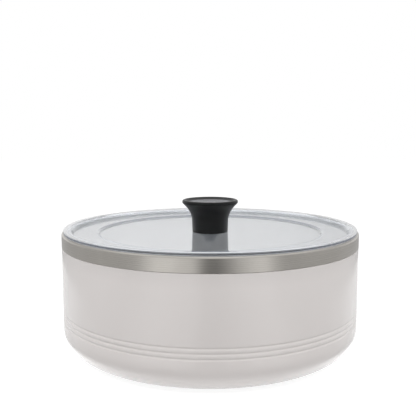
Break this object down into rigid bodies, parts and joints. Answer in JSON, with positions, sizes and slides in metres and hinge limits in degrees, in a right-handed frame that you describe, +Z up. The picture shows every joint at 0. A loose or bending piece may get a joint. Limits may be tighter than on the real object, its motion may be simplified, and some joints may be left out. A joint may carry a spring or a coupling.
{
  "type": "insulated bowl with lid",
  "caption": "Round double-walled steel bowl with a coated outside, a bare rim band and a clear stepped lid that lifts off by a flared black knob.",
  "frame": {"origin": "centre of the foot, on the plane that the bowl stands on", "axes": "+Z up along the bowl's axis, through the knob; the bowl is round, so X and Y are free"},
  "size_m": [0.25, 0.25, 0.1253],
  "materials": {
    "coated_steel": "satin",
    "inner_steel": "satin",
    "band_steel": "satin",
    "foam": "matte",
    "plug_plastic": "matte",
    "clear_plastic": "gloss",
    "black_plastic": "satin",
    "brass": "satin",
    "screw_steel": "polished",
    "silicone": "matte"
  },
  "bodies": {
    "bowl": {"outer_shell": "coated_steel", "inner_bowl": "inner_steel", "rim_band": "band_steel", "foam_insulation": "foam", "fill_plug": "plug_plastic"},
    "lid": {"lid_panel": "clear_plastic", "knob": "black_plastic", "knob_insert": "brass", "knob_screw": "screw_steel", "screw_washer": "screw_steel", "sealing_washer": "silicone"}
  },
  "joints": [
    {"name": "lid_lift", "type": "slide", "parent": "bowl", "child": "lid", "axis": [0, 0, 1], "range_m": [0, 0.12]}
  ]
}
